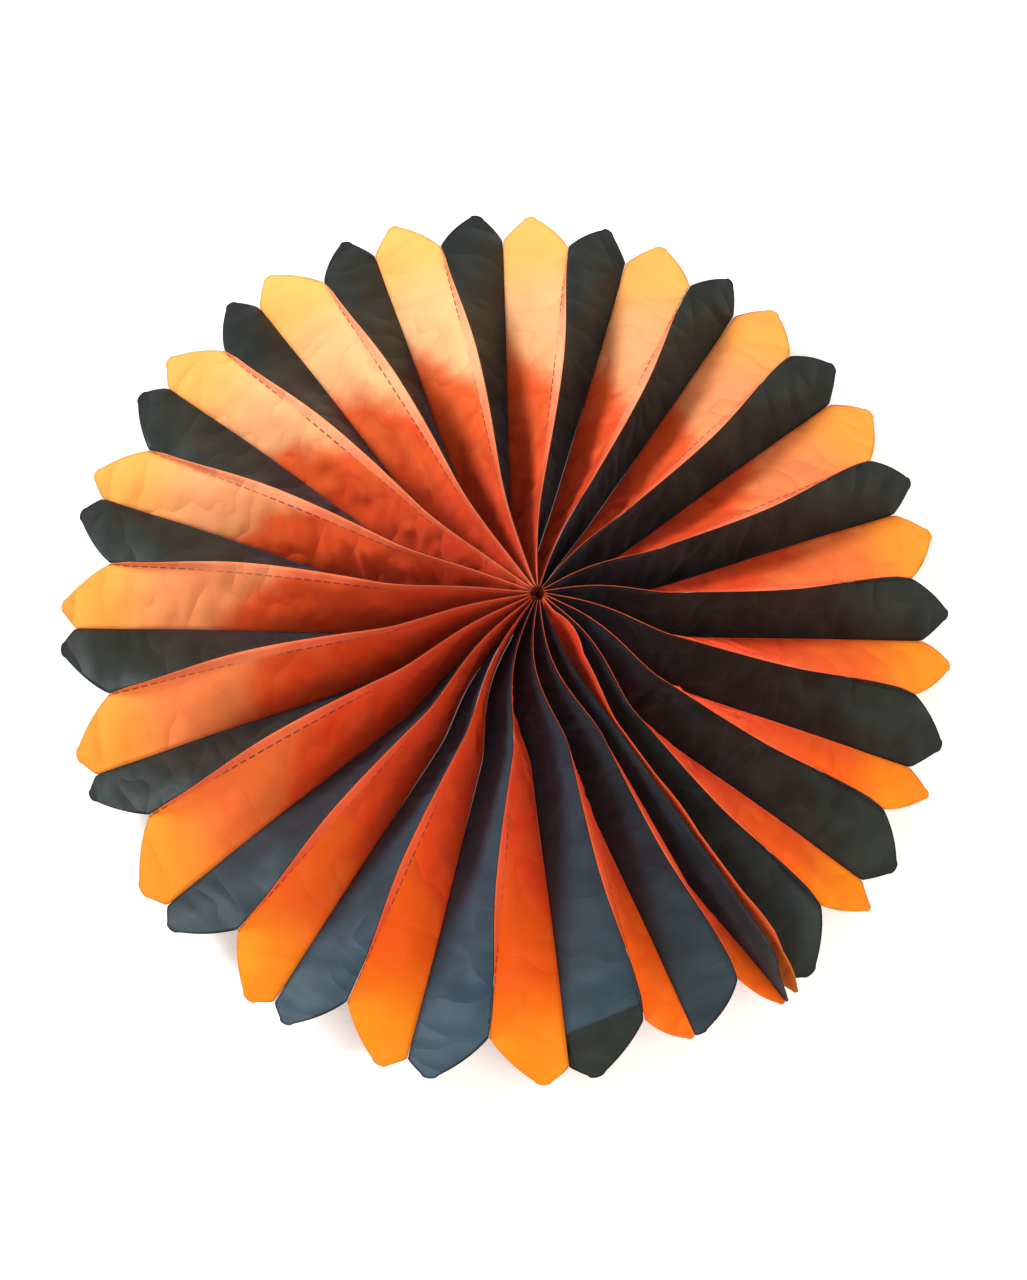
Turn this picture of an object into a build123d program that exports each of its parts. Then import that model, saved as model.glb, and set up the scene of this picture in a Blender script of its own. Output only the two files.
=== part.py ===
from build123d import *

import os
from math import cos, pi, radians, sin, sqrt

os.makedirs("parts", exist_ok=True)

# Pleated paper fan rosette: die-cut leaves in two colours, glued edge to edge and opened flat in a full turn.

# Frame: millimetres, +Z up, the fan lies on Z = 0 with its hub on the Z axis.
# A bearing is an angle clockwise from +Y as seen from above.

# The flat leaf, as it is cut
leaf_length = 200.0  # hub axis to tip, along the paper
leaf_width = 52.0  # one long edge to the other
tip_depth = 29.0  # shoulder to tip, along the leaf
tip_belly = 12.0  # depth of the tip's curve at its middle
tip_blunt = 3.0  # half width of the rounded point
sheet = 0.2  # thickness of the paper as modelled
least_strip = 0.8  # a fold nearer than this to the cut edge is left out

# Glued edges
mountain_flange = 6.0  # paper beyond the glue line on an upper fold
valley_flange = 3.0  # paper beyond the glue line on a lower fold
glue_film = 0.15  # gap between two glued flanges
fin_lean = 34.0  # how far an upper flange leans clockwise where it leans most, in degrees
fin_start = 0.2  # where that lean begins, as a share of the way to the shoulder
fin_full = 0.68  # and where it is greatest

# The open fan
leaf_count = 42  # even, the two colours take turns
hub_radius = 3.2  # inner ends of the leaves
rim_press = 0.75  # share of the spare width that lies closed in a valley at the rim
press_swing = 0.17  # more of it on the side towards press_bearing, less on the far side
press_bearing = 250.0
press_start = 0.35  # where the valleys begin to close, as a share of the leaf's length
rim_draw = 2.5  # how far the upper folds draw in at the tips
face_bow = 1.2  # soft bow of each face, up from its straight line
seam_sway = 0.3  # sideways sway of the folds at mid length, in degrees
gathered_to = 10.0  # the folds keep their even places round the spine as far as this along the leaf
opened_by = 65.0  # and have their open bearings from here on

# The open join between the last leaf and the first
join_bearing = 144.1
join_gap = 1.0  # opening between the two free edges, in degrees
first_span = 2.6  # first leaf, in degrees of bearing
second_span = 4.55  # second leaf
first_skew = -1.6  # how far the valley after the first leaf runs back anticlockwise at the tips
third_span = 6.9  # third and fourth leaves, which crowd together
last_span = -0.7  # last leaf, whose free edge leans over the one before
crowded_press = 0.98  # share of the spare width closed in the valley between the third and fourth
crowded_draw = 7.0  # how far that valley draws in at the tips
edge_wave = 1.8  # wave of the last leaf's free edge
hub_curl = 2.5  # how far the last leaf's free edge curls over near the hub
hub_curl_reach = 32.0  # where along the leaf that curl has died out
hub_spread = 9.0  # how far the last leaf's gathered end stands back from the join, in degrees
spread_leaves = 6  # the last leaves that share this

# The gathered upper edges at the hub stand a little off the axis
hub_lean_x = 4.5
hub_lean_y = 5.0
hub_lean_reach = 60.0  # where along the leaves the lean has died out

# The fifth leaf's tip is bent down along a crease
bent_leaf = 5
bend_start = 1.0  # from the shoulder to the crease, at the upper edge
bend_rise = 0.18  # slope of the crease across the leaf
bend_angle = 18.0

# The spine ring that the inner ends are glued to
spine_height = 40.0
spine_wall = 0.8
spine_clearance = 0.1

half_width = leaf_width / 2
shoulder = leaf_length - tip_depth


def ease(value):
    """Smooth step from 0 to 1."""
    value = min(max(value, 0.0), 1.0)
    return value * value * (3 - 2 * value)


# Bearings of the folds: fold n lies clockwise of leaf n, even ones are mountains
regular_pitch = (360 - join_gap - first_span - second_span - 2 * third_span - last_span) / (leaf_count - 5)
span = {n: regular_pitch for n in range(1, leaf_count + 1)}
span[1] = first_span
span[2] = second_span
span[3] = third_span
span[4] = third_span
span[leaf_count] = last_span
even_span = dict(span)
# the pleats do not fall quite evenly: how far single folds stand off their even place, clockwise, in degrees
fold_shift = {2: -1.5, 3: -1.0, 4: -2.0, 5: -1.0, 6: 0.5, 7: 1.0, 8: 1.5, 9: 0.5, 10: 0.5, 12: 1.5, 13: 0.5}
fold_shift.update({14: 0.5, 15: 1.5, 16: 0.5, 17: 1.0, 18: -0.5, 19: 0.5, 20: -0.5, 21: -0.5, 22: -1.0})
fold_shift.update({23: -0.5, 24: -1.0, 28: 1.0, 29: -0.5, 30: 1.0, 31: 0.5, 32: 2.5, 33: 1.0, 34: 3.0, 35: 1.5})
fold_shift.update({36: 2.0, 37: 1.5, 38: 1.0, 39: 0.5, 40: -1.0})
fold_bearing = {0: join_bearing + join_gap / 2}
for n in range(1, leaf_count + 1):
    fold_bearing[n] = fold_bearing[n - 1] + span[n]
for n in fold_shift:
    if n < leaf_count - 1:
        fold_bearing[n] += fold_shift[n]


def chord(radius, degrees_apart):
    """Distance between two folds at a radius."""
    return 2 * radius * sin(radians(degrees_apart) / 2)


def closed_height(fold, along):
    """Height of the stretch of a valley where its two leaves lie against each other."""
    widest = max(even_span[n] for n in (fold, fold + 1))
    spare = leaf_width - mountain_flange - valley_flange - chord(min(along, shoulder), widest)
    closing = ease((along / leaf_length - press_start) / (1 - press_start))
    share = rim_press + press_swing * cos(radians(join_bearing + fold * regular_pitch - press_bearing))
    if fold == 3:
        share = crowded_press
    return valley_flange + share * closing * spare


def face_rise(leaf, along):
    """Height of a leaf's face from its valley to its mountain, left by the paper's own width."""
    valley = leaf if leaf % 2 else leaf - 1
    face = leaf_width - mountain_flange - closed_height(valley, along)
    return sqrt(face**2 - chord(min(along, shoulder), even_span[leaf]) ** 2)


def mountain_height(fold, along):
    """Height of a mountain's glue line, the mean of what its two leaves ask for."""
    beside = [n for n in (fold, fold + 1) if 1 <= n <= leaf_count]
    heights = []
    for n in beside:
        valley = n if n % 2 else n - 1
        heights.append(closed_height(valley, along) + face_rise(n, along))
    return sum(heights) / len(heights)


def bearing_at(fold, along):
    """Bearing of a fold at a distance from the hub: evenly spread round the spine, then as opened."""
    opened = ease((along - gathered_to) / (opened_by - gathered_to))
    gathered = join_bearing + (fold + 0.5) * 360 / (leaf_count + 1)
    gathered -= hub_spread * max(fold - leaf_count + spread_leaves, 0) / spread_leaves
    sway = seam_sway * sin(2.4 * fold) * sin(pi * along / leaf_length)
    if fold == 1:
        sway += first_skew * ease((along / leaf_length - 0.6) / 0.4)
    return radians(gathered + (fold_bearing[fold] - gathered) * opened + sway)


def lean_shift(along, height):
    """Sideways lean of the gathered hub, strongest at its top."""
    fade = max(1 - along / hub_lean_reach, 0.0) ** 2
    return Vector(hub_lean_x, hub_lean_y, 0) * fade * (height / leaf_width)


def fold_point(fold, along, height, side):
    """Point on a fold's own upright surface, moved by side mm clockwise off it."""
    turn = bearing_at(fold, along)
    radius = along
    if fold % 2 == 0:
        radius -= rim_draw * (along / leaf_length) ** 4
    if fold == 3:
        radius -= crowded_draw * (along / leaf_length) ** 4
    outward = Vector(sin(turn), cos(turn), 0)
    clockwise = Vector(cos(turn), -sin(turn), 0)
    return outward * radius + clockwise * side + Vector(0, 0, height) + lean_shift(along, height)


def fin_tilt(fold, along):
    """Lean of an upper flange, none at the spine and none at the shoulder."""
    if fold in (0, leaf_count):
        return 0.0
    rising = ease((along / shoulder - fin_start) / (fin_full - fin_start))
    falling = ease((1 - along / shoulder) / (1 - fin_full))
    return radians(fin_lean) * rising * falling


def free_edge_shift(along, across):
    """The last leaf's upper edge is wavy towards the rim and curls over near the hub."""
    high = ease(across / half_width)
    wave = edge_wave * sin(2 * pi * along / (0.3 * leaf_length)) * ease(along / (0.7 * leaf_length))
    curl = -hub_curl * sin(pi * min(max((along - gathered_to) / (hub_curl_reach - gathered_to), 0.0), 1.0))
    turn = bearing_at(leaf_count, along)
    return Vector(cos(turn), -sin(turn), 0) * high * (curl + 0.5 * min(wave, 0.0))


def leaf_point(leaf, along, across):
    """Middle surface of a leaf; across runs from its valley edge, negative, to its mountain edge."""
    valley, mountain = (leaf, leaf - 1) if leaf % 2 else (leaf - 1, leaf)
    off = (glue_film + sheet) / 2
    valley_side = -off if valley == leaf else off
    mountain_side = -off if mountain == leaf else off
    closed = closed_height(valley, along)
    valley_turn = across + half_width
    if valley_turn <= closed:
        point = fold_point(valley, along, valley_turn, valley_side)
    else:
        top = mountain_height(mountain, along)
        past = across - (half_width - mountain_flange)
        low = fold_point(valley, along, closed, valley_side)
        high = fold_point(mountain, along, top, mountain_side)
        if past <= 0:
            share = (valley_turn - closed) / (leaf_width - mountain_flange - closed)
            bow = face_bow * 4 * share * (1 - share) * ease(along / (0.3 * leaf_length))
            point = low + (high - low) * share + Vector(0, 0, bow)
        else:
            tilt = fin_tilt(mountain, along)
            rise = past * cos(tilt)
            point = fold_point(mountain, along, top + rise, mountain_side + past * sin(tilt))
        if leaf == leaf_count:
            point += free_edge_shift(along, across)
    if leaf == bent_leaf:
        crease = shoulder + bend_start + bend_rise * (half_width - across)
        if along > crease:
            point -= Vector(0, 0, (along - crease) * sin(radians(bend_angle)))
    return point


# The flat blank: a strip with an ogive tip, drawn for a leaf lying along +X
with BuildLine() as tip_curve:
    ThreePointArc(
        (shoulder, half_width),
        (leaf_length - tip_belly, (half_width + tip_blunt) / 2),
        (leaf_length - tip_blunt / 2, tip_blunt),
    )


def blank_half_width(along):
    """Half width of the flat leaf at a distance from the hub's axis."""
    if along <= shoulder:
        return half_width
    low, high = 0.0, 1.0
    for _ in range(40):
        middle = (low + high) / 2
        if (tip_curve.line @ middle).X < along:
            low = middle
        else:
            high = middle
    return (tip_curve.line @ low).Y


# Distances from the hub at which a leaf is creased across, closer together towards the tip
body_rows = [hub_radius, 0.09 * shoulder] + [shoulder * share for share in (0.24, 0.4, 0.55, 0.69, 0.81, 0.91)]
tip_rows = [leaf_length - tip_depth * share for share in (1.0, 0.74, 0.46, 0.24)] + [leaf_length - tip_blunt / 2]


def leaf_rows(leaf):
    """Rows of (along, across) points of the leaf, hub to tip."""
    valley = leaf if leaf % 2 else leaf - 1
    rows = []
    for along in body_rows + tip_rows:
        half = blank_half_width(along)
        closed = closed_height(valley, along) - half_width
        glued = half_width - mountain_flange
        folds = [closed, (closed + glued) / 2, glued]
        inner = [across for across in folds if abs(across) < half - least_strip]
        rows.append([(along, across) for across in [-half] + inner + [half]])
    rows.append([(leaf_length, 0.0)])
    return rows


def stitched(rows):
    """Triangles between neighbouring rows, each as three (row, place) pairs, all turning the same way."""
    triangles = []
    for low in range(len(rows) - 1):
        near, far = rows[low], rows[low + 1]
        i, j = 0, 0
        while i < len(near) - 1 or j < len(far) - 1:
            step_near = i < len(near) - 1 and (
                j == len(far) - 1 or abs(near[i + 1][1] - far[j][1]) <= abs(far[j + 1][1] - near[i][1])
            )
            if step_near:
                triangles.append(((low, i), (low + 1, j), (low, i + 1)))
                i += 1
            else:
                triangles.append(((low, i), (low + 1, j), (low + 1, j + 1)))
                j += 1
    return triangles


def edge_loop(rows):
    """The outline of the leaf as (row, place) pairs, once round."""
    last = len(rows) - 1
    loop = [(0, place) for place in range(len(rows[0]))]
    loop += [(row, len(rows[row]) - 1) for row in range(1, last + 1)]
    loop += [(row, 0) for row in range(last - 1, 0, -1)]
    return loop


def leaf_skins(leaf):
    """Points of the two skins of a leaf, half a sheet either side of its middle surface."""
    rows = leaf_rows(leaf)
    middle = {}
    for row, points in enumerate(rows):
        for place, (along, across) in enumerate(points):
            middle[(row, place)] = leaf_point(leaf, along, across)
    triangles = stitched(rows)
    facings = {key: [] for key in middle}
    for corners in triangles:
        a, b, c = (middle[key] for key in corners)
        normal = (b - a).cross(c - a).normalized()
        for key in corners:
            if all((normal - other).length > 0.02 for other in facings[key]):
                facings[key].append(normal)
    upper, lower = {}, {}
    for key, normals in facings.items():
        mean = sum(normals, Vector(0, 0, 0)).normalized()
        reach = sheet / 2 / max(min(mean.dot(normal) for normal in normals), 0.5)
        upper[key] = middle[key] + mean * reach
        lower[key] = middle[key] - mean * reach
    return rows, triangles, upper, lower


def leaf_solid(leaf):
    """Closed creased sheet between the two skins of a leaf."""
    rows, triangles, upper, lower = leaf_skins(leaf)
    faces = []
    for a, b, c in triangles:
        faces.append(Face(Wire.make_polygon([upper[a], upper[b], upper[c]])))
        faces.append(Face(Wire.make_polygon([lower[a], lower[c], lower[b]])))
    loop = edge_loop(rows)
    for here, after in zip(loop, loop[1:] + loop[:1]):
        faces.append(Face(Wire.make_polygon([upper[here], upper[after], lower[after]])))
        faces.append(Face(Wire.make_polygon([upper[here], lower[after], lower[here]])))
    return Solid(Shell(faces))


# The leaves, clockwise from the open join: odd ones are the dark paper, even ones the bright paper
for number in range(1, leaf_count + 1):
    with BuildPart() as leaf:
        add(leaf_solid(number))
    colour = "dark" if number % 2 else "bright"
    leaf.part.label = f"leaf_{number:02d}_{colour}"
    export_step(leaf.part, f"parts/{leaf.part.label}.step")

# The spine ring: a strip glued round the inner ends, leaning with the gathered hub
spine_outer = hub_radius - spine_clearance
spine_foot = lean_shift(hub_radius, valley_flange)
spine_head = lean_shift(hub_radius, spine_height)
with BuildPart() as spine_ring:
    with BuildSketch(Plane(spine_foot + Vector(0, 0, valley_flange))):
        Circle(spine_outer)
    with BuildSketch(Plane(spine_head + Vector(0, 0, spine_height))):
        Circle(spine_outer)
    loft(ruled=True)
    with BuildSketch(Plane(spine_foot + Vector(0, 0, valley_flange))):
        Circle(spine_outer - spine_wall)
    with BuildSketch(Plane(spine_head + Vector(0, 0, spine_height))):
        Circle(spine_outer - spine_wall)
    loft(ruled=True, mode=Mode.SUBTRACT)
spine_ring.part.label = "spine_ring"
export_step(spine_ring.part, "parts/spine_ring.step")
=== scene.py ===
"""Paper fan rosette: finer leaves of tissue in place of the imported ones, on a white floor."""

from math import cos, pi, radians, sin, sqrt

import bpy
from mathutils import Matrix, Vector, noise


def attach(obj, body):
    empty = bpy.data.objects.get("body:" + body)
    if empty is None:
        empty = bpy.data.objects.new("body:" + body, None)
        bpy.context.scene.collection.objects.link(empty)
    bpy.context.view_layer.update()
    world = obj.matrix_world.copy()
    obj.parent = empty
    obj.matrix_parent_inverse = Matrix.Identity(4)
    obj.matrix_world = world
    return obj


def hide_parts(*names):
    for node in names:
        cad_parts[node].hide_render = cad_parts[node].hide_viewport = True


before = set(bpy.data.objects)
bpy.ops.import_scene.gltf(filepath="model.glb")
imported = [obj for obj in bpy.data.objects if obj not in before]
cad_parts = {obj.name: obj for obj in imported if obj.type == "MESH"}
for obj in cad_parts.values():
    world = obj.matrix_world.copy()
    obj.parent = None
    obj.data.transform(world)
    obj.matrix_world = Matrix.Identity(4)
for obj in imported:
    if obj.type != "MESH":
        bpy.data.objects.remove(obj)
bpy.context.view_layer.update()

MM = 0.001

# The flat leaf, as in the part's source. Lengths are in millimetres and angles in degrees, and
# a bearing is clockwise from +Y as seen from above.
LEAF_LENGTH = 200.0
LEAF_WIDTH = 52.0
TIP_DEPTH = 29.0  # shoulder to tip
TIP_BELLY = 12.0  # depth of the tip's curve at its middle
TIP_BLUNT = 3.0  # half width of the rounded point
SHEET = 0.2  # thickness of the solid leaf
HALF_WIDTH = LEAF_WIDTH / 2
SHOULDER = LEAF_LENGTH - TIP_DEPTH

# Glued edges, the same
MOUNTAIN_FLANGE = 6.0  # paper beyond the glue line on an upper fold
VALLEY_FLANGE = 3.0  # and on a lower fold
GLUE_LINE = HALF_WIDTH - MOUNTAIN_FLANGE
GLUE_FILM = 0.15  # gap between two glued flanges
FIN_LEAN = 34.0  # most lean of an upper flange, clockwise
FIN_START = 0.2  # where that lean begins, as a share of the way to the shoulder
FIN_FULL = 0.68  # and where it is greatest

# The open fan, the same
LEAF_COUNT = 42
HUB_RADIUS = 3.2  # inner ends of the leaves
RIM_PRESS = 0.75  # share of the spare width that lies closed in a valley at the rim
PRESS_SWING = 0.17  # more of it on the side towards PRESS_BEARING
PRESS_BEARING = 250.0
PRESS_START = 0.35  # where the valleys begin to close, as a share of the leaf's length
RIM_DRAW = 2.5  # how far the upper folds draw in at the tips
DRAW_POWER = 4
FACE_BOW = 1.2  # upward bow of each face
BOW_FULL = 0.3  # where the bow is full, as a share of the leaf's length
SEAM_SWAY = 0.3  # sideways sway of the folds at mid length, in degrees
SWAY_TURN = 2.4  # radians between the sways of two neighbouring folds
GATHERED_TO = 10.0  # the folds are spaced evenly round the spine up to here
OPENED_BY = 65.0  # and have their open bearings from here on

# The open join between the last leaf and the first, the same
JOIN_BEARING = 144.1
JOIN_GAP = 1.0
FIRST_SPAN = 2.6
SECOND_SPAN = 4.55
THIRD_SPAN = 6.9  # third and fourth leaves
LAST_SPAN = -0.7  # last leaf, whose free edge leans over the one before
FIRST_SKEW = -1.6  # how far the valley after the first leaf runs back at the tips
SKEW_START = 0.6  # where it starts to, as a share of the leaf's length
CROWDED_FOLD = 3
CROWDED_PRESS = 0.98
CROWDED_DRAW = 7.0
EDGE_WAVE = 1.8  # wave of the last leaf's free edge
WAVE_LENGTH = 0.3  # as a share of the leaf's length
WAVE_FULL = 0.7  # where the wave is full, the same
HUB_CURL = 2.5  # how far that edge curls over near the hub
HUB_CURL_REACH = 32.0
HUB_SPREAD = 9.0  # how far the last leaf's gathered end stands back from the join
SPREAD_LEAVES = 6  # the last leaves that share this
HUB_LEAN = Vector((4.5, 5.0, 0.0))  # the gathered upper edges stand a little off the axis
HUB_LEAN_REACH = 60.0

# The fifth leaf's tip is bent down along a crease, the same
BENT_LEAF = 5
BEND_START = 1.0  # from the shoulder to the crease, at the upper edge
BEND_RISE = 0.18  # slope of the crease across the leaf
BEND_ANGLE = 18.0

# How far single folds stand off their even place, clockwise, the same
FOLD_SHIFT = {2: -1.5, 3: -1.0, 4: -2.0, 5: -1.0, 6: 0.5, 7: 1.0, 8: 1.5, 9: 0.5, 10: 0.5}
FOLD_SHIFT.update({12: 1.5, 13: 0.5, 14: 0.5, 15: 1.5, 16: 0.5, 17: 1.0, 18: -0.5, 19: 0.5})
FOLD_SHIFT.update({20: -0.5, 21: -0.5, 22: -1.0, 23: -0.5, 24: -1.0, 28: 1.0, 29: -0.5})
FOLD_SHIFT.update({30: 1.0, 31: 0.5, 32: 2.5, 33: 1.0, 34: 3.0, 35: 1.5, 36: 2.0, 37: 1.5})
FOLD_SHIFT.update({38: 1.0, 39: 0.5, 40: -1.0})

# How finely the leaves are meshed
ROW_STEP = 1.9  # along the leaf
TIP_ROWS = 22
TIP_CROWDING = 1.6  # the tip's rows lie closer towards the point
CLOSED_COLUMNS = 5
FACE_COLUMNS = 15
FIN_COLUMNS = 3
LEAST_COLUMN = 0.001  # columns nearer than this share their vertices
LEAST_HALF = 0.02  # half width at the very point
POINT_SLOPE = 1.2  # the cut edge at the point, as a distance from it along the leaf
PAPER = 0.1  # thickness of the rendered tissue

# Wrinkles across the inner part of a face, and wider dents all along it
WRINKLE_HEIGHT = 1.6
WRINKLE_LENGTH = 8.0
WRINKLE_WIDTH = 30.0
WRINKLE_SLANT = 0.35
WRINKLE_LOW = 0.6  # how far below the plain face a wrinkle's foot lies, as a share
WRINKLES_START, WRINKLES_FULL = 8.0, 38.0  # along the leaf
WRINKLES_FADE, WRINKLES_END = 70.0, 140.0
DENT_HEIGHT = 1.8
DENT_LENGTH = 34.0
DENT_WIDTH = 22.0
DENTS_FULL = 60.0
MOST_BUMP = 0.5  # of the distance between two neighbouring faces
HOLD_POWER = 0.7  # how sharply the bumps end at the folds
SLANT_TURN, WRINKLE_SEED, DENT_SEED, DENT_OFFSET = 1.7, 7.3, 3.1, 40  # make each leaf different

# Painted light on each leaf changes round the fan: where it is strongest, and how far it reaches
LIT_BEARING, LIT_REACH = 340.0, 140.0
SHEEN_BEARING, SHEEN_REACH = 190.0, 62.0

# Dark tissue, in linear colours
BLACK = (0.006, 0.010, 0.007)
BLACK_BLOTCH = (0.010, 0.014, 0.011)
BLACK_PATCH = (0.026, 0.034, 0.026)
# Painted bluish sheen, patchy, on the leaves that turn towards the window lamp
BLUE_SHEEN = (0.020, 0.046, 0.066)
BLUE_SHEEN_PATCH = (0.036, 0.072, 0.100)
# Painted shade, nearly black, towards the hub where the pleats crowd
DARK_HUB_SHADE = (0.003, 0.004, 0.004)
HUB_SHADE_ZONE = (8.0, 75.0)  # along the leaf
# Painted highlight along the creases
DARK_CREASE_HIGHLIGHT = (0.070, 0.086, 0.095)
DARK_RIM = (0.004, 0.005, 0.005)
DARK_GLUE = (0.002, 0.002, 0.003)

# Bright tissue; a pair is for the painted light at 0 and at 1
ORANGE = (1.0, 0.078, 0.014), (1.0, 0.150, 0.032)
# Painted light on the outer part of the leaf
LIT_PALE = (1.0, 0.120, 0.006), (1.0, 0.52, 0.23)
GOLD = (1.0, 0.27, 0.008), (1.0, 0.47, 0.115)
# Painted sheen on the upper flanges
FLANGE_SHEEN = (1.0, 0.13, 0.075), (1.0, 0.44, 0.26)
# Painted shade, deep red, towards the hub
SHADED_RED = (1.0, 0.034, 0.020)
RED_PATCH = (1.0, 0.054, 0.012)
PALE_FLECK = (1.0, 0.36, 0.10)
# Painted shade along the creases
BRIGHT_CREASE_SHADE = (0.85, 0.07, 0.014)
BRIGHT_RIM = (0.60, 0.16, 0.02)
BRIGHT_GLUE = (0.10, 0.02, 0.04)

# Where these fade into each other, along the leaf
SHADED_RED_ZONE = (20.0, 112.0)
LIT_PALE_ZONE = (112.0, 134.0)
GOLD_ZONE = (150.0, 186.0)
FLANGE_SHEEN_ZONE = (40.0, 130.0)
ZONE_SLANT = 0.8  # further out towards the lower fold, in the red and pale zones, so more painted shade by the valley
ZONE_WANDER = 36.0
LITTLE_GOLD = 0.25  # share of gold on the first two bright leaves
CREASES_IN, CREASES_OUT = (12.0, 40.0), (100.0, 190.0)

# Surface of the tissue
PATTERN_TURN = 7.31  # steps the noise on from leaf to leaf
DASH_PERIOD = 4.2
DARK_SURFACE = {
    "Roughness": 0.5,
    "Specular IOR Level": 0.25,
    "Sheen Weight": 0.06,
    "Sheen Roughness": 0.45,
    "Sheen Tint": (0.45, 0.70, 1.0),
}
BRIGHT_SURFACE = {
    "Roughness": 0.65,
    "Specular IOR Level": 0.1,
    "Sheen Weight": 1.0,
    "Sheen Roughness": 0.45,
    "Sheen Tint": (1.0, 0.10, 0.04),
}
DARK_THROUGH, DARK_SHARE = (0.03, 0.03, 0.03), 0.06  # light that comes through the paper
BRIGHT_THROUGH, BRIGHT_SHARE = (1.0, 0.32, 0.08), 0.07


def ease(value):
    """Smooth step from 0 to 1."""
    value = min(max(value, 0.0), 1.0)
    return value * value * (3 - 2 * value)


# Bearings of the folds: fold n lies clockwise of leaf n, even ones are mountains
REGULAR_PART = 360 - JOIN_GAP - FIRST_SPAN - SECOND_SPAN - 2 * THIRD_SPAN - LAST_SPAN
REGULAR_PITCH = REGULAR_PART / (LEAF_COUNT - 5)
SPAN = {n: REGULAR_PITCH for n in range(1, LEAF_COUNT + 1)}
SPAN.update({1: FIRST_SPAN, 2: SECOND_SPAN, 3: THIRD_SPAN, 4: THIRD_SPAN, LEAF_COUNT: LAST_SPAN})
FOLD_BEARING = {0: JOIN_BEARING + JOIN_GAP / 2}
for n in range(1, LEAF_COUNT + 1):
    FOLD_BEARING[n] = FOLD_BEARING[n - 1] + SPAN[n]
for n in FOLD_SHIFT:
    FOLD_BEARING[n] += FOLD_SHIFT[n]


def chord(radius, degrees_apart):
    return 2 * radius * sin(radians(degrees_apart) / 2)


def closed_height(fold, along):
    """Height of the stretch of a valley where its two leaves lie against each other."""
    widest = max(SPAN[n] for n in (fold, fold + 1))
    opening = chord(min(along, SHOULDER), widest)
    spare = LEAF_WIDTH - MOUNTAIN_FLANGE - VALLEY_FLANGE - opening
    closing = ease((along / LEAF_LENGTH - PRESS_START) / (1 - PRESS_START))
    bearing = JOIN_BEARING + fold * REGULAR_PITCH
    share = RIM_PRESS + PRESS_SWING * cos(radians(bearing - PRESS_BEARING))
    if fold == CROWDED_FOLD:
        share = CROWDED_PRESS
    return VALLEY_FLANGE + share * closing * spare


def mountain_height(fold, along):
    """Height of a mountain's glue line, the mean of what its two leaves ask for."""
    heights = []
    for leaf in (n for n in (fold, fold + 1) if 1 <= n <= LEAF_COUNT):
        closed = closed_height(leaf if leaf % 2 else leaf - 1, along)
        face = LEAF_WIDTH - MOUNTAIN_FLANGE - closed
        opening = chord(min(along, SHOULDER), SPAN[leaf])
        heights.append(closed + sqrt(face**2 - opening**2))
    return sum(heights) / len(heights)


def bearing_at(fold, along):
    """A fold's bearing in radians: even round the spine, its own further out."""
    opened = ease((along - GATHERED_TO) / (OPENED_BY - GATHERED_TO))
    gathered = JOIN_BEARING + (fold + 0.5) * 360 / (LEAF_COUNT + 1)
    gathered -= HUB_SPREAD * max(fold - LEAF_COUNT + SPREAD_LEAVES, 0) / SPREAD_LEAVES
    sway = SEAM_SWAY * sin(SWAY_TURN * fold) * sin(pi * along / LEAF_LENGTH)
    if fold == 1:
        sway += FIRST_SKEW * ease((along / LEAF_LENGTH - SKEW_START) / (1 - SKEW_START))
    return radians(gathered + (FOLD_BEARING[fold] - gathered) * opened + sway)


def fin_tilt(fold, along):
    """Lean of an upper fold's glued flange; the free edges at the join have none."""
    if fold in (0, LEAF_COUNT):
        return 0.0
    rising = ease((along / SHOULDER - FIN_START) / (FIN_FULL - FIN_START))
    falling = ease((1 - along / SHOULDER) / (1 - FIN_FULL))
    return radians(FIN_LEAN) * rising * falling


class Fold:
    """A fold's upright surface at one distance from the hub."""

    def __init__(self, fold, along):
        turn = bearing_at(fold, along)
        radius = along
        if fold % 2 == 0:
            radius -= RIM_DRAW * (along / LEAF_LENGTH) ** DRAW_POWER
        if fold == CROWDED_FOLD:
            radius -= CROWDED_DRAW * (along / LEAF_LENGTH) ** DRAW_POWER
        self.clockwise = Vector((cos(turn), -sin(turn), 0.0))
        self.foot = Vector((sin(turn), cos(turn), 0.0)) * radius
        self.lean = HUB_LEAN * max(1 - along / HUB_LEAN_REACH, 0.0) ** 2 / LEAF_WIDTH

    def at(self, height, side):
        return self.foot + self.clockwise * side + Vector((0.0, 0.0, height)) + self.lean * height


def free_edge_shift(along, across):
    """The last leaf's upper edge is wavy towards the rim and curls over near the hub."""
    high = ease(across / HALF_WIDTH)
    wave = sin(2 * pi * along / (WAVE_LENGTH * LEAF_LENGTH))
    wave = EDGE_WAVE * wave * ease(along / (WAVE_FULL * LEAF_LENGTH))
    reach = (along - GATHERED_TO) / (HUB_CURL_REACH - GATHERED_TO)
    curl = -HUB_CURL * sin(pi * min(max(reach, 0.0), 1.0))
    return high * (curl + 0.5 * min(wave, 0.0))


def tip_half_width(along):
    """Half width beyond the shoulder: an arc through the shoulder, the belly and the point."""
    a = Vector((SHOULDER, HALF_WIDTH))
    b = Vector((LEAF_LENGTH - TIP_BELLY, (HALF_WIDTH + TIP_BLUNT) / 2))
    c = Vector((LEAF_LENGTH - TIP_BLUNT / 2, TIP_BLUNT))
    if along > c.x:
        return TIP_BLUNT * sqrt(max(1 - ((along - c.x) / (LEAF_LENGTH - c.x)) ** 2, 0.0))
    aa, bb, cc = a.dot(a), b.dot(b), c.dot(c)
    d = 2 * (a.x * (b.y - c.y) + b.x * (c.y - a.y) + c.x * (a.y - b.y))
    centre_x = (aa * (b.y - c.y) + bb * (c.y - a.y) + cc * (a.y - b.y)) / d
    centre_y = (aa * (c.x - b.x) + bb * (a.x - c.x) + cc * (b.x - a.x)) / d
    radius = (a - Vector((centre_x, centre_y))).length
    return centre_y + sqrt(max(radius**2 - (along - centre_x) ** 2, 0.0))


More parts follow.
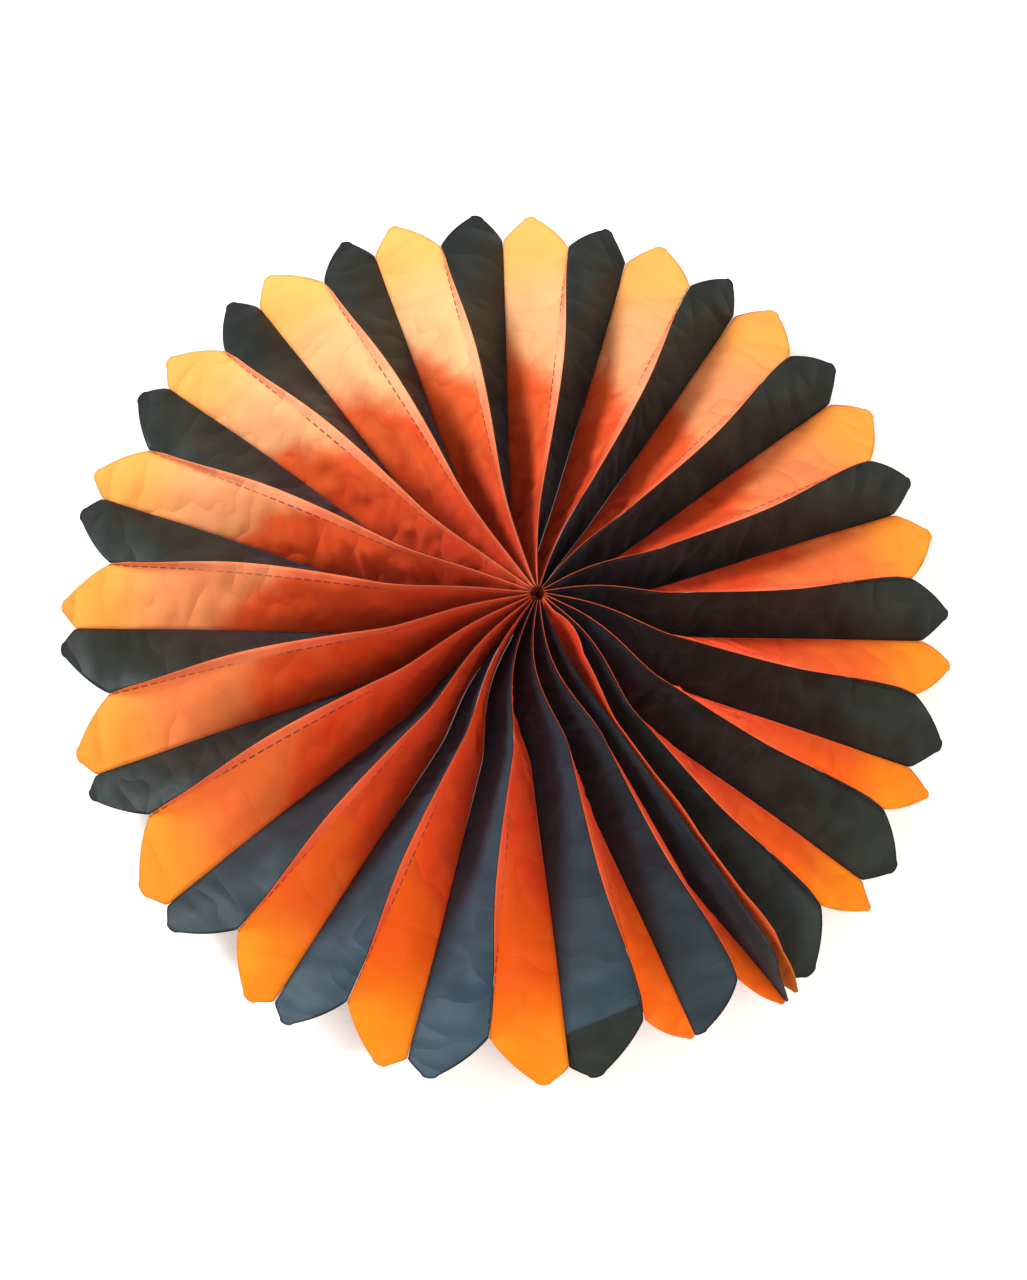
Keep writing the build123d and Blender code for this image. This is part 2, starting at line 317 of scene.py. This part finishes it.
def crinkle(leaf, along, across, share, room):
    """How far the face stands off its plain surface: dents and wrinkles, none at the folds."""
    rising = ease((along - WRINKLES_START) / (WRINKLES_FULL - WRINKLES_START))
    fading = ease((along - WRINKLES_FADE) / (WRINKLES_END - WRINKLES_FADE))
    wrinkled = rising * (1 - fading)
    slant = across * WRINKLE_SLANT * sin(leaf * SLANT_TURN)
    spot = ((along + slant) / WRINKLE_LENGTH, across / WRINKLE_WIDTH, leaf * WRINKLE_SEED)
    wrinkle = (1 - 2 * abs(noise.noise(Vector(spot)))) - WRINKLE_LOW
    spot = (along / DENT_LENGTH, across / DENT_WIDTH, leaf * DENT_SEED + DENT_OFFSET)
    dent = noise.noise(Vector(spot))
    height = WRINKLE_HEIGHT * wrinkle * wrinkled + DENT_HEIGHT * dent * ease(along / DENTS_FULL)
    most = MOST_BUMP * room
    return max(-most, min(most, height)) * sin(pi * share) ** HOLD_POWER


def bend_line(across):
    """Where the crease of the bent tip crosses the leaf."""
    return SHOULDER + BEND_START + BEND_RISE * (HALF_WIDTH - across)


def leaf_row(leaf, along, half):
    """(point, across) of each column of one row of a leaf, valley edge to mountain edge."""
    valley, mountain = (leaf, leaf - 1) if leaf % 2 else (leaf - 1, leaf)
    off = (GLUE_FILM + SHEET) / 2
    valley_side = -off if valley == leaf else off
    mountain_side = -off if mountain == leaf else off
    closed = closed_height(valley, along)
    top = mountain_height(mountain, along)
    tilt = fin_tilt(mountain, along)
    low_fold, high_fold = Fold(valley, along), Fold(mountain, along)
    low, high = low_fold.at(closed, valley_side), high_fold.at(top, mountain_side)
    normal = (high - low).cross(high_fold.foot.normalized()).normalized()
    fold_across = closed - HALF_WIDTH
    a = max(-half, min(half, fold_across))
    b = max(-half, min(half, GLUE_LINE))
    columns = [-half + (a + half) * k / CLOSED_COLUMNS for k in range(CLOSED_COLUMNS)]
    columns += [a + (b - a) * k / FACE_COLUMNS for k in range(FACE_COLUMNS)]
    columns += [b + (half - b) * k / FIN_COLUMNS for k in range(FIN_COLUMNS + 1)]
    points = []
    for across in columns:
        if across <= fold_across:
            point = low_fold.at(across + HALF_WIDTH, valley_side)
        elif across <= GLUE_LINE:
            share = (across - fold_across) / (GLUE_LINE - fold_across)
            bow = FACE_BOW * 4 * share * (1 - share) * ease(along / (BOW_FULL * LEAF_LENGTH))
            room = chord(along, REGULAR_PITCH) * min(share, 1 - share)
            lift = crinkle(leaf, along, across, share, room)
            point = low + (high - low) * share + Vector((0, 0, bow)) + normal * lift
        else:
            past = across - GLUE_LINE
            point = high_fold.at(top + past * cos(tilt), mountain_side + past * sin(tilt))
        if leaf == LEAF_COUNT and across > fold_across:
            point = point + high_fold.clockwise * free_edge_shift(along, across)
        if leaf == BENT_LEAF and along > bend_line(across):
            drop = (along - bend_line(across)) * sin(radians(BEND_ANGLE))
            point = point - Vector((0, 0, drop))
        points.append((point * MM, across))
    return points


def leaf_painted_light(leaf):
    """From 0 to 1: painted light on a bright leaf, most far off, or painted blue sheen on a dark
    one, most near.
    """
    if leaf % 2:
        centre, reach = SHEEN_BEARING, SHEEN_REACH
    else:
        centre, reach = LIT_BEARING, LIT_REACH
    # The leaves whose faces turn towards the window lamp get the most painted light
    apart = (FOLD_BEARING[leaf] - SPAN[leaf] / 2 - centre + 180) % 360 - 180
    return 1 - ease(abs(apart) / reach)


def leaf_mesh(leaf, name):
    """The leaf's middle surface as a grid.

    The map "flat" holds the place on the flat leaf, and three attributes of the vertices hold
    the distance from the cut edge, the leaf's number and its share of painted light.
    """
    body = max(2, round((SHOULDER - HUB_RADIUS) / ROW_STEP))
    alongs = [HUB_RADIUS + (SHOULDER - HUB_RADIUS) * k / body for k in range(body)]
    for k in range(TIP_ROWS + 1):
        alongs.append(SHOULDER + TIP_DEPTH * (1 - (1 - k / TIP_ROWS) ** TIP_CROWDING))
    verts, places, rows = [], [], []
    for along in alongs:
        half = HALF_WIDTH if along <= SHOULDER else max(tip_half_width(along), LEAST_HALF)
        row = []
        for point, across in leaf_row(leaf, along, half):
            if not row or across - places[-1][1] > LEAST_COLUMN:
                to_edge = min(half - abs(across), (LEAF_LENGTH - along) * POINT_SLOPE)
                verts.append(point)
                places.append((along, across, max(to_edge, 0.0)))
            row.append(len(verts) - 1)
        rows.append(row)
    faces = []
    for row, following in zip(rows, rows[1:]):
        for column in range(len(row) - 1):
            corners = (row[column], row[column + 1], following[column + 1], following[column])
            corners = tuple(dict.fromkeys(corners))
            if len(corners) > 2:
                faces.append(corners)
    mesh = bpy.data.meshes.new(name)
    mesh.from_pydata(verts, [], faces)
    flat = mesh.uv_layers.new(name="flat")
    for loop in mesh.loops:
        along, across, _ = places[loop.vertex_index]
        flat.data[loop.index].uv = (along / LEAF_LENGTH, 0.5 + across / LEAF_WIDTH)
    to_edges = [place[2] for place in places]
    tone = leaf_painted_light(leaf)
    for kind, values in (
        ("edge", to_edges),
        ("leaf", [leaf] * len(places)),
        ("tone", [tone] * len(places)),
    ):
        mesh.attributes.new(kind, "FLOAT", "POINT").data.foreach_set("value", values)
    return mesh


class Nodes:
    """A node tree being built; a value is a socket, a number or a linear colour."""

    def __init__(self, tree):
        self.tree = tree
        tree.nodes.clear()

    def put(self, socket, value):
        """Sets a value on a socket, or links another socket to it."""
        if isinstance(value, bpy.types.NodeSocket):
            self.tree.links.new(value, socket)
        elif isinstance(value, tuple):
            socket.default_value = (*value, 1.0)
        else:
            socket.default_value = value

    def node(self, kind, inputs):
        made = self.tree.nodes.new(kind)
        for name, value in inputs.items():
            self.put(made.inputs[name], value)
        return made

    def math(self, operation, *values):
        made = self.tree.nodes.new("ShaderNodeMath")
        made.operation = operation
        for place, value in enumerate(values):
            self.put(made.inputs[place], value)
        return made.outputs[0]

    def times(self, first, second):
        return self.math("MULTIPLY", first, second)

    def minus(self, first, second):
        return self.math("SUBTRACT", first, second)

    def step(self, value, low, high):
        """Smooth step of a socket between two values."""
        made = self.node("ShaderNodeMapRange", {"Value": value, "From Min": low, "From Max": high})
        made.interpolation_type = "SMOOTHSTEP"
        return made.outputs["Result"]

    def mix(self, share, first, second):
        made = self.tree.nodes.new("ShaderNodeMix")
        made.data_type = "RGBA"
        for name, value in (("Factor", share), ("A", first), ("B", second)):
            self.put([s for s in made.inputs if s.name == name and s.enabled][0], value)
        return [s for s in made.outputs if s.enabled][0]

    def noise(self, place, scale, detail):
        inputs = {"Vector": place, "Scale": scale, "Detail": detail, "Roughness": 0.55}
        return self.node("ShaderNodeTexNoise", inputs).outputs["Fac"]

    def attribute(self, name):
        made = self.tree.nodes.new("ShaderNodeAttribute")
        made.attribute_name = name
        return made.outputs["Fac"]

    def object_place(self):
        return self.tree.nodes.new("ShaderNodeTexCoord").outputs["Object"]

    def seen_directly(self):
        """1 for rays from the camera, and for those that a mirror or glass would show it."""
        ray = self.tree.nodes.new("ShaderNodeLightPath").outputs
        mirrored = self.math("MAXIMUM", ray["Is Glossy Ray"], ray["Is Transmission Ray"])
        return self.math("MAXIMUM", ray["Is Camera Ray"], mirrored)

    def finish(self, surface, kind="ShaderNodeOutputMaterial"):
        self.node(kind, {"Surface": surface.outputs[0]})


def new_material(name):
    """A material and its empty node tree."""
    material = bpy.data.materials.new(name)
    material.use_nodes = True
    return material, Nodes(material.node_tree)


class Sheet:
    """Places and patterns on a leaf, in millimetres of its flat sheet, as sockets."""

    def __init__(self, nodes):
        self.nodes = nodes
        flat = nodes.tree.nodes.new("ShaderNodeUVMap")
        flat.uv_map = "flat"
        parts = nodes.node("ShaderNodeSeparateXYZ", {0: flat.outputs["UV"]}).outputs
        self.along = nodes.times(parts["X"], LEAF_LENGTH)
        self.across = nodes.math("MULTIPLY_ADD", parts["Y"], LEAF_WIDTH, -HALF_WIDTH)
        self.here = nodes.object_place()
        self.leaf = nodes.attribute("leaf")
        self.tone = nodes.attribute("tone")
        self.patch = self.pattern(15.0, 24.0, 0.0, 3.0)
        self.crumple = self.pattern(15.0, 34.0, 5.0, 0.6)
        self.from_middle = nodes.math("ABSOLUTE", nodes.minus(self.crumple, 0.5))
        self.glued = nodes.step(self.pattern(30.0, 60.0, 11.0, 1.0), 0.35, 0.6)
        self.rim = nodes.minus(1.0, nodes.step(nodes.attribute("edge"), 0.5, 2.0))

    def pattern(self, length, width, seed, detail):
        """Noise in the leaf's own directions, different on every leaf."""
        nodes = self.nodes
        place = {
            0: nodes.times(self.along, 1 / length),
            1: nodes.times(self.across, 1 / width),
            2: nodes.math("MULTIPLY_ADD", self.leaf, PATTERN_TURN, seed),
        }
        return nodes.noise(nodes.node("ShaderNodeCombineXYZ", place).outputs[0], 1.0, detail)

    def crease_shading(self, weight):
        """Thin wandering lines of painted crease shading on the inner half, where the crumple
        passes its middle.
        """
        nodes = self.nodes
        line = nodes.minus(1.0, nodes.step(self.from_middle, 0.0, 0.03))
        inner = nodes.step(self.along, *CREASES_IN)
        inner = nodes.minus(inner, nodes.step(self.along, *CREASES_OUT))
        return nodes.times(nodes.times(line, inner), weight)

    def dashes(self, length, half_line, weight):
        """Dashes of glue that show through along the glue line of an upper fold.

        The length is a share of the period.
        """
        nodes = self.nodes
        away = nodes.math("ABSOLUTE", nodes.minus(self.across, GLUE_LINE))
        line = nodes.minus(1.0, nodes.step(away, half_line * 0.6, half_line * 1.5))
        beat = nodes.math("FRACT", nodes.math("DIVIDE", self.along, DASH_PERIOD))
        dash = nodes.minus(1.0, nodes.step(beat, length, length + 0.12))
        return nodes.times(nodes.times(line, dash), nodes.times(self.glued, weight))


def dark_shade(nodes, sheet):
    """Black, with a painted blue sheen on the near side of the fan, though not past the bent tip's
    crease.
    """
    # The bent tip past its crease gets no painted sheen: painted shade, as it bends away from the
    # lamp
    past_bend = nodes.math("MULTIPLY_ADD", sheet.across, BEND_RISE, sheet.along)
    past_bend = nodes.step(nodes.minus(past_bend, bend_line(0.0)), 0.0, 0.8)
    on_bent_leaf = nodes.math("COMPARE", sheet.leaf, float(BENT_LEAF), 0.5)
    tone = nodes.times(sheet.tone, nodes.minus(1.0, nodes.times(past_bend, on_bent_leaf)))

    blotch = nodes.step(nodes.noise(sheet.here, 26.0, 2.0), 0.35, 0.65)
    shade = nodes.mix(blotch, BLACK, BLACK_BLOTCH)
    patch = nodes.times(nodes.step(sheet.patch, 0.3, 0.8), 0.7)
    shade = nodes.mix(patch, shade, BLACK_PATCH)
    # Painted bluish sheen, by the leaf's painted light
    blue_sheen = nodes.mix(nodes.step(sheet.patch, 0.2, 0.8), BLUE_SHEEN, BLUE_SHEEN_PATCH)
    shade = nodes.mix(tone, shade, blue_sheen)
    # Painted shade towards the hub
    shade = nodes.mix(nodes.step(sheet.along, *HUB_SHADE_ZONE), DARK_HUB_SHADE, shade)
    # Painted highlight along the creases
    shade = nodes.mix(sheet.crease_shading(0.10), shade, DARK_CREASE_HIGHLIGHT)
    shade = nodes.mix(nodes.times(sheet.rim, 0.85), shade, DARK_RIM)
    return nodes.mix(sheet.dashes(0.6, 0.4, 0.8), shade, DARK_GLUE)


def bright_shade(nodes, sheet):
    """Orange, with painted shade of red towards the hub, painted light on the outer part, a gold
    tip and a painted sheen on the flanges.
    """
    # Painted light on the outer part and painted shade of red on the inner part, both further out
    # by the valley
    wander = nodes.math("MULTIPLY_ADD", sheet.patch, ZONE_WANDER, -ZONE_WANDER / 2)
    reach = nodes.math("MULTIPLY_ADD", sheet.across, ZONE_SLANT, sheet.along)
    reach = nodes.math("ADD", reach, wander)
    lit_outside = nodes.step(reach, *LIT_PALE_ZONE)
    inner = nodes.minus(1.0, nodes.step(reach, *SHADED_RED_ZONE))
    past_first = nodes.step(sheet.leaf, 4.9, 5.1)  # 1 beyond the first two bright leaves
    much_gold = nodes.math("MULTIPLY_ADD", past_first, 1 - LITTLE_GOLD, LITTLE_GOLD)
    near_tip = nodes.times(nodes.step(sheet.along, *GOLD_ZONE), much_gold)
    # Each colour is paler by the leaf's painted light
    shade = nodes.mix(sheet.tone, *ORANGE)
    shade = nodes.mix(lit_outside, shade, nodes.mix(sheet.tone, *LIT_PALE))
    shade = nodes.mix(near_tip, shade, nodes.mix(sheet.tone, *GOLD))
    # Painted shade: deep red towards the hub and the valley
    shade = nodes.mix(nodes.times(inner, 0.85), shade, SHADED_RED)
    reds = nodes.times(nodes.step(sheet.patch, 0.46, 0.62), nodes.minus(1.0, lit_outside))
    shade = nodes.mix(nodes.times(reds, 0.5), shade, RED_PATCH)
    flecks = nodes.step(nodes.noise(sheet.here, 95.0, 4.0), 0.4, 0.7)
    shade = nodes.mix(nodes.times(flecks, 0.08), shade, PALE_FLECK)
    # Painted shade along the creases
    shade = nodes.mix(sheet.crease_shading(0.18), shade, BRIGHT_CREASE_SHADE)
    # Painted sheen on the upper flange
    flange = nodes.step(sheet.across, GLUE_LINE - 0.2, GLUE_LINE + 0.5)
    shown = nodes.math("MULTIPLY_ADD", nodes.step(sheet.along, *FLANGE_SHEEN_ZONE), 0.35, 0.2)
    shade = nodes.mix(nodes.times(flange, shown), shade, nodes.mix(sheet.tone, *FLANGE_SHEEN))
    shade = nodes.mix(nodes.times(sheet.rim, 0.35), shade, BRIGHT_RIM)
    return nodes.mix(sheet.dashes(0.62, 0.42, 0.85), shade, BRIGHT_GLUE)


def tissue(name, shade_of, surface, through, share):
    """Tissue paper: a faintly crumpled surface, and the share of light that comes through."""
    material, nodes = new_material(name)
    sheet = Sheet(nodes)
    grain = nodes.noise(sheet.here, 1400.0, 2.0)
    bump = nodes.node("ShaderNodeBump", {
        "Strength": 0.8,
        "Distance": 0.0065,
        "Height": nodes.math("MULTIPLY_ADD", grain, 0.015, sheet.from_middle),
    })
    paper = nodes.node("ShaderNodeBsdfPrincipled", surface)
    nodes.put(paper.inputs["Base Color"], shade_of(nodes, sheet))
    nodes.put(paper.inputs["Normal"], bump.outputs["Normal"])
    glow = nodes.node("ShaderNodeBsdfTranslucent", {"Color": through})
    both = nodes.node("ShaderNodeMixShader", {0: share, 1: paper.outputs[0], 2: glow.outputs[0]})
    nodes.finish(both)
    return material


def spine_paper():
    """Reddish brown paper for the hidden ring."""
    material, nodes = new_material("spine_paper")
    fibres = nodes.noise(nodes.object_place(), 600.0, 4.0)
    shade = nodes.mix(fibres, (0.10, 0.03, 0.015), (0.20, 0.07, 0.03))
    paper = {"Base Color": shade, "Roughness": 0.8}
    nodes.finish(nodes.node("ShaderNodeBsdfPrincipled", paper))
    return material


def add_leaves():
    papers = {
        "dark": tissue("dark_tissue", dark_shade, DARK_SURFACE, DARK_THROUGH, DARK_SHARE),
        "bright": tissue(
            "bright_tissue", bright_shade, BRIGHT_SURFACE, BRIGHT_THROUGH, BRIGHT_SHARE
        ),
    }
    for leaf in range(1, LEAF_COUNT + 1):
        colour = "dark" if leaf % 2 else "bright"
        mesh = leaf_mesh(leaf, f"tissue_{leaf:02d}")
        mesh.materials.append(papers[colour])
        mesh.shade_smooth()
        piece = bpy.data.objects.new(f"tissue_{leaf:02d}_{colour}", mesh)
        bpy.context.scene.collection.objects.link(piece)
        solid = piece.modifiers.new("paper", "SOLIDIFY")
        solid.thickness = PAPER * MM
        solid.offset = 0.0
        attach(piece, "root")
        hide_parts(f"leaf_{leaf:02d}_{colour}")


def add_floor():
    """White, with the fan's shadow; lifted to plain white only where it is seen directly."""
    bpy.ops.mesh.primitive_plane_add(size=6.0, location=(0, 0, -0.0006))
    floor = bpy.context.object
    floor.name = "floor"
    material, nodes = new_material("floor")
    white = nodes.node("ShaderNodeBsdfDiffuse", {"Color": (0.92, 0.92, 0.92)})
    strength = nodes.times(nodes.seen_directly(), 0.3)
    lift = nodes.node("ShaderNodeEmission", {"Color": (1.0, 1.0, 1.0), "Strength": strength})
    both = nodes.node("ShaderNodeAddShader", {0: white.outputs[0], 1: lift.outputs[0]})
    nodes.finish(both)
    floor.data.materials.append(material)


def add_world():
    """Soft, slightly warm light from all round, white where it is seen directly."""
    world = bpy.data.worlds.new("world")
    bpy.context.scene.world = world
    world.use_nodes = True
    nodes = Nodes(world.node_tree)
    colour = nodes.mix(nodes.seen_directly(), (0.62, 0.59, 0.55), (1.0, 1.0, 1.0))
    sky = nodes.node("ShaderNodeBackground", {"Color": colour, "Strength": 1.0})
    nodes.finish(sky, "ShaderNodeOutputWorld")


def add_lamp(name, place, size, power, colour):
    """A round lamp aimed at the middle of the fan."""
    data = bpy.data.lights.new(name, "AREA")
    data.shape = "DISK"
    data.size = size
    data.energy = power
    data.color = colour
    lamp = bpy.data.objects.new(name, data)
    bpy.context.scene.collection.objects.link(lamp)
    aim = Vector((0, 0, 0.02)) - Vector(place)
    lamp.location = place
    lamp.rotation_euler = aim.to_track_quat("-Z", "Y").to_euler()


def add_camera():
    """Where the photograph was taken from, fitted to the fan's folds and tips."""
    tilt, bearing, distance = radians(14.4), radians(204.25), 0.64
    target = Vector((-0.0005, -0.0029, 0.0))
    focal_pixels, image_height, sensor_height = 1392.4, 1280, 36.0
    shift_pixels = (-0.5, -3.0)
    toward = Vector((sin(tilt) * sin(bearing), sin(tilt) * cos(bearing), cos(tilt)))
    data = bpy.data.cameras.new("camera")
    camera = bpy.data.objects.new("camera", data)
    bpy.context.scene.collection.objects.link(camera)
    data.sensor_fit = "VERTICAL"
    data.sensor_height = sensor_height
    data.lens = focal_pixels * sensor_height / image_height
    data.shift_x = shift_pixels[0] / image_height
    data.shift_y = shift_pixels[1] / image_height
    data.clip_start = 0.01
    camera.location = target + toward * distance
    right = (-toward).cross(Vector((0, 1, 0))).normalized()
    turn = camera.rotation_euler.to_matrix()
    turn.col[0], turn.col[1], turn.col[2] = right, right.cross(-toward), toward
    camera.rotation_euler = turn.to_euler()
    bpy.context.scene.camera = camera


add_leaves()
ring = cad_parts["spine_ring"]
ring.data.materials.clear()
ring.data.materials.append(spine_paper())
add_floor()
add_world()
add_lamp("window", (-0.92, 0.40, 0.84), 0.4, 15.5, (0.86, 0.94, 1.0))
add_lamp("room", (0.40, -0.35, 1.18), 1.0, 8.0, (1.0, 0.90, 0.78))
add_camera()
bpy.context.scene.view_settings.view_transform = "Standard"

bpy.context.view_layer.update()
